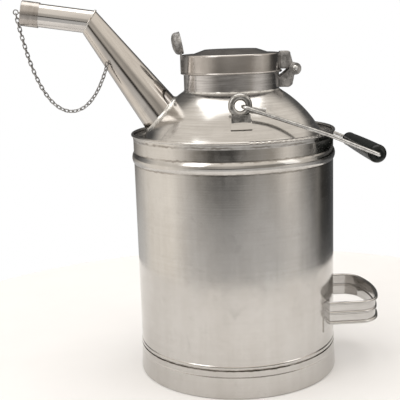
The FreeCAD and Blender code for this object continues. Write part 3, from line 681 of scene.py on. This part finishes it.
def world():
    """White to the eye. To the metal, a pale ground, soft boxes with dark gaps, and a bright ceiling.

    The bands are ramps round the horizon. turn is 0.5 towards the front (-Y) and 0 or 1 behind (+Y),
    and 0.25 on the spout's side (-X). height is 0.5 at the horizon and 1 overhead.
    """
    scene_world = bpy.data.worlds.new("studio")
    bpy.context.scene.world = scene_world
    scene_world.use_nodes = True
    tree = scene_world.node_tree
    tree.nodes.clear()

    def add(kind, **settings):
        node = tree.nodes.new(kind)
        for key, value in settings.items():
            setattr(node, key, value)
        return node

    def put(socket, value):
        if isinstance(value, bpy.types.NodeSocket):
            tree.links.new(value, socket)
        else:
            socket.default_value = value

    def maths(operation, a, b):
        node = add("ShaderNodeMath", operation=operation)
        for socket, value in zip(node.inputs, (a, b)):
            put(socket, value)
        return node.outputs[0]

    def ramp(value, stops):
        node = add("ShaderNodeValToRGB")
        tree.links.new(value, node.inputs[0])
        elements = node.color_ramp.elements
        while len(elements) < len(stops):
            elements.new(0.5)
        for element, (position, colour) in zip(elements, stops):
            element.position = position
            element.color = (*colour, 1)
        return node.outputs[0]

    place = add("ShaderNodeTexCoord").outputs["Generated"]
    split = add("ShaderNodeSeparateXYZ")
    tree.links.new(place, split.inputs[0])
    x, y, z = split.outputs
    azimuth = maths("ARCTAN2", x, maths("MULTIPLY", y, -1.0))
    turn = maths("ADD", maths("DIVIDE", azimuth, 2 * math.pi), 0.5)

    def grey(value, warm=1.0):
        return (value, value * (1 - 0.06 * warm), value * (1 - 0.14 * warm))

    def fade(value, stops):
        return ramp(value, [(position, (share, share, share)) for position, share in stops])

    def over(share, below, above):
        node = add("ShaderNodeMix", data_type="RGBA")
        for socket, value in ((node.inputs[0], share), (node.inputs[6], below), (node.inputs[7], above)):
            put(socket, value)
        return node.outputs[2]

    low = ramp(turn, [
        (0.00, grey(0.25)), (0.06, grey(0.22)), (0.12, grey(0.70)), (0.15, grey(1.00)), (0.27, grey(1.22)),
        (0.32, grey(0.85)), (0.37, grey(0.27, 1.5)), (0.41, grey(0.08, 1.5)), (0.45, grey(0.03)),
        (0.49, grey(0.06)), (0.53, grey(0.28)), (0.57, grey(0.38)), (0.61, grey(0.44, 1.6)),
        (0.655, grey(1.15)), (0.70, grey(0.60)), (0.745, grey(0.08)), (0.79, grey(0.25)), (0.81, grey(0.05)),
        (0.86, grey(0.04, 0)), (0.92, grey(0.10, -0.5)), (1.00, grey(0.16))])
    middle = ramp(turn, [
        (0.00, grey(0.10, 0.3)), (0.10, grey(0.09, 0.3)), (0.16, grey(0.34, 0.3)), (0.22, grey(1.00)),
        (0.33, grey(0.85)), (0.40, grey(0.45)), (0.47, grey(0.62)), (0.54, grey(0.40)), (0.66, grey(0.30)),
        (0.70, grey(0.90)), (0.75, grey(0.70)), (0.78, grey(0.08)), (0.90, grey(0.08, 0)),
        (1.00, grey(0.10, 0.3))])
    height = maths("ADD", maths("MULTIPLY", z, 0.5), 0.5)
    high = ramp(height, [(0.60, grey(0.75)), (0.72, grey(1.0)), (0.85, grey(1.05)), (1.0, grey(1.1))])
    ground = ramp(turn, [
        (0.00, grey(0.40, 0.2)), (0.12, grey(0.75, 0.5)), (0.17, grey(1.05)), (0.27, grey(1.15)),
        (0.34, grey(0.78, 0.5)), (0.45, grey(0.66, 0.3)), (0.60, grey(0.72, 0.3)), (0.68, grey(0.85, 0.5)),
        (0.76, grey(0.45, 0.3)), (0.82, grey(0.14, 0)), (0.90, grey(0.14, 0)), (1.00, grey(0.36, 0.2))])
    shade = (*grey(0.08, 0.3), 1)

    # Where the dark gaps reach further down, and the shade behind that keeps the lid's top dark
    reach = fade(turn, [
        (0.34, 0), (0.40, 0.4), (0.50, 0.4), (0.56, 0), (0.74, 0), (0.80, 1), (0.92, 1), (0.98, 0)])
    behind = fade(turn, [(0.00, 1), (0.08, 1), (0.15, 0), (0.85, 0), (0.92, 1)])
    not_overhead = fade(height, [(0.60, 0.9), (0.82, 0.9), (0.94, 0)])
    to_low = fade(maths("ADD", height, maths("MULTIPLY", reach, 0.03)), [(0.385, 0), (0.43, 1)])
    to_middle = fade(height, [(0.455, 0), (0.49, 1)])
    to_high = fade(height, [(0.63, 0), (0.72, 1)])
    sky = over(maths("MULTIPLY", behind, not_overhead), high, shade)
    near_level = over(to_middle, over(to_low, ground, low), middle)
    studio_light = over(to_high, near_level, sky)
    eye = add("ShaderNodeLightPath")
    seen = over(eye.outputs["Is Camera Ray"], studio_light, (1.0, 1.0, 1.0, 1))
    background = add("ShaderNodeBackground")
    background.inputs["Strength"].default_value = 1.0
    tree.links.new(seen, background.inputs[0])
    tree.links.new(background.outputs[0], add("ShaderNodeOutputWorld").inputs[0])


def area_light(name, place, target, size, power):
    light = bpy.data.lights.new(name, "AREA")
    light.shape = "RECTANGLE"
    light.size, light.size_y = size
    light.energy = power
    obj = bpy.data.objects.new(name, light)
    obj.location = place
    obj.rotation_euler = (Vector(target) - Vector(place)).to_track_quat("-Z", "Y").to_euler()
    bpy.context.scene.collection.objects.link(obj)


def camera():
    """The photograph's viewpoint: level aim, then pan, pitch and roll, then turned about the can."""
    forward = Vector((math.sin(CAMERA_PAN) * math.cos(CAMERA_PITCH),
                      math.cos(CAMERA_PAN) * math.cos(CAMERA_PITCH), -math.sin(CAMERA_PITCH)))
    level = Vector((math.cos(CAMERA_PAN), -math.sin(CAMERA_PAN), 0))
    upright = level.cross(forward)
    right = level * math.cos(CAMERA_ROLL) + upright * math.sin(CAMERA_ROLL)
    up = upright * math.cos(CAMERA_ROLL) - level * math.sin(CAMERA_ROLL)
    turn = Matrix.Rotation(CAMERA_AZIMUTH, 3, "Z")
    axes = Matrix((turn @ right, turn @ up, turn @ -forward)).transposed()
    data = bpy.data.cameras.new("camera")
    data.lens = LENS_MM
    data.sensor_width = SENSOR_MM
    data.clip_start = 0.05
    obj = bpy.data.objects.new("camera", data)
    obj.matrix_world = Matrix.Translation(CAMERA_PLACE) @ axes.to_4x4()
    bpy.context.scene.collection.objects.link(obj)
    bpy.context.scene.camera = obj


def studio():
    floor()
    world()
    camera()
    area_light("key_left", (-1.1, -0.9, 1.1), (0, 0, 0.2), (0.7, 0.9), 5)
    area_light("fill_right", (1.2, -0.7, 0.8), (0, 0, 0.2), (0.5, 0.9), 1.5)
    area_light("top_soft", (0, 0.3, 1.7), (0, 0, 0.1), (1.4, 1.0), 8)
    bpy.context.scene.view_settings.view_transform = "Standard"


# ---- Build ----

materials = make_materials()
dress(materials)
for casting in ("hinge_neck_bracket", "hinge_lid_bracket"):
    roughen(casting, 0.00045, 0.0005, 0.003)
set_material(chain(), materials["chain"])
set_material(neck_fillet(), materials["solder"])
set_material(spout_fillet(), materials["solder"])
set_material(elbow_bead(), materials["solder"])
studio()
